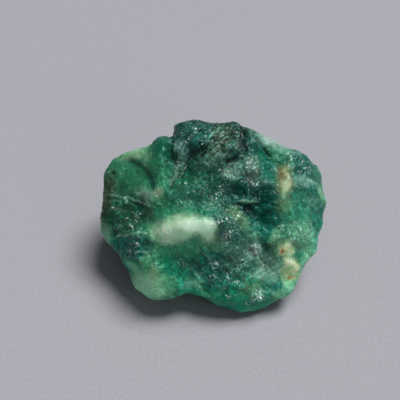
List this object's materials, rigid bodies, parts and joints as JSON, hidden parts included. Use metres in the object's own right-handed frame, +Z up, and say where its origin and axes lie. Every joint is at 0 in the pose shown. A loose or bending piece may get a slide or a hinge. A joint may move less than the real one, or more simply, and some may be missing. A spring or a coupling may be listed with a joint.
{
  "type": "rough mineral stone",
  "caption": "Irregular lump of rough translucent green mineral with a raised crown, shell-shaped break marks, a milky swell and a flat underside it rests on.",
  "frame": {"origin": "on the flat underside, below the centre of the stone's bounding box", "axes": "+X to the right along the longest extent, -Y towards the side the broad face looks to, +Z up along the shortest extent"},
  "size_m": [0.0356, 0.0256, 0.0219],
  "materials": {
    "stone": "broken, waxy to glassy, translucent green with milky and tan patches"
  },
  "bodies": {
    "root": {"stone": "stone"}
  },
  "joints": []
}
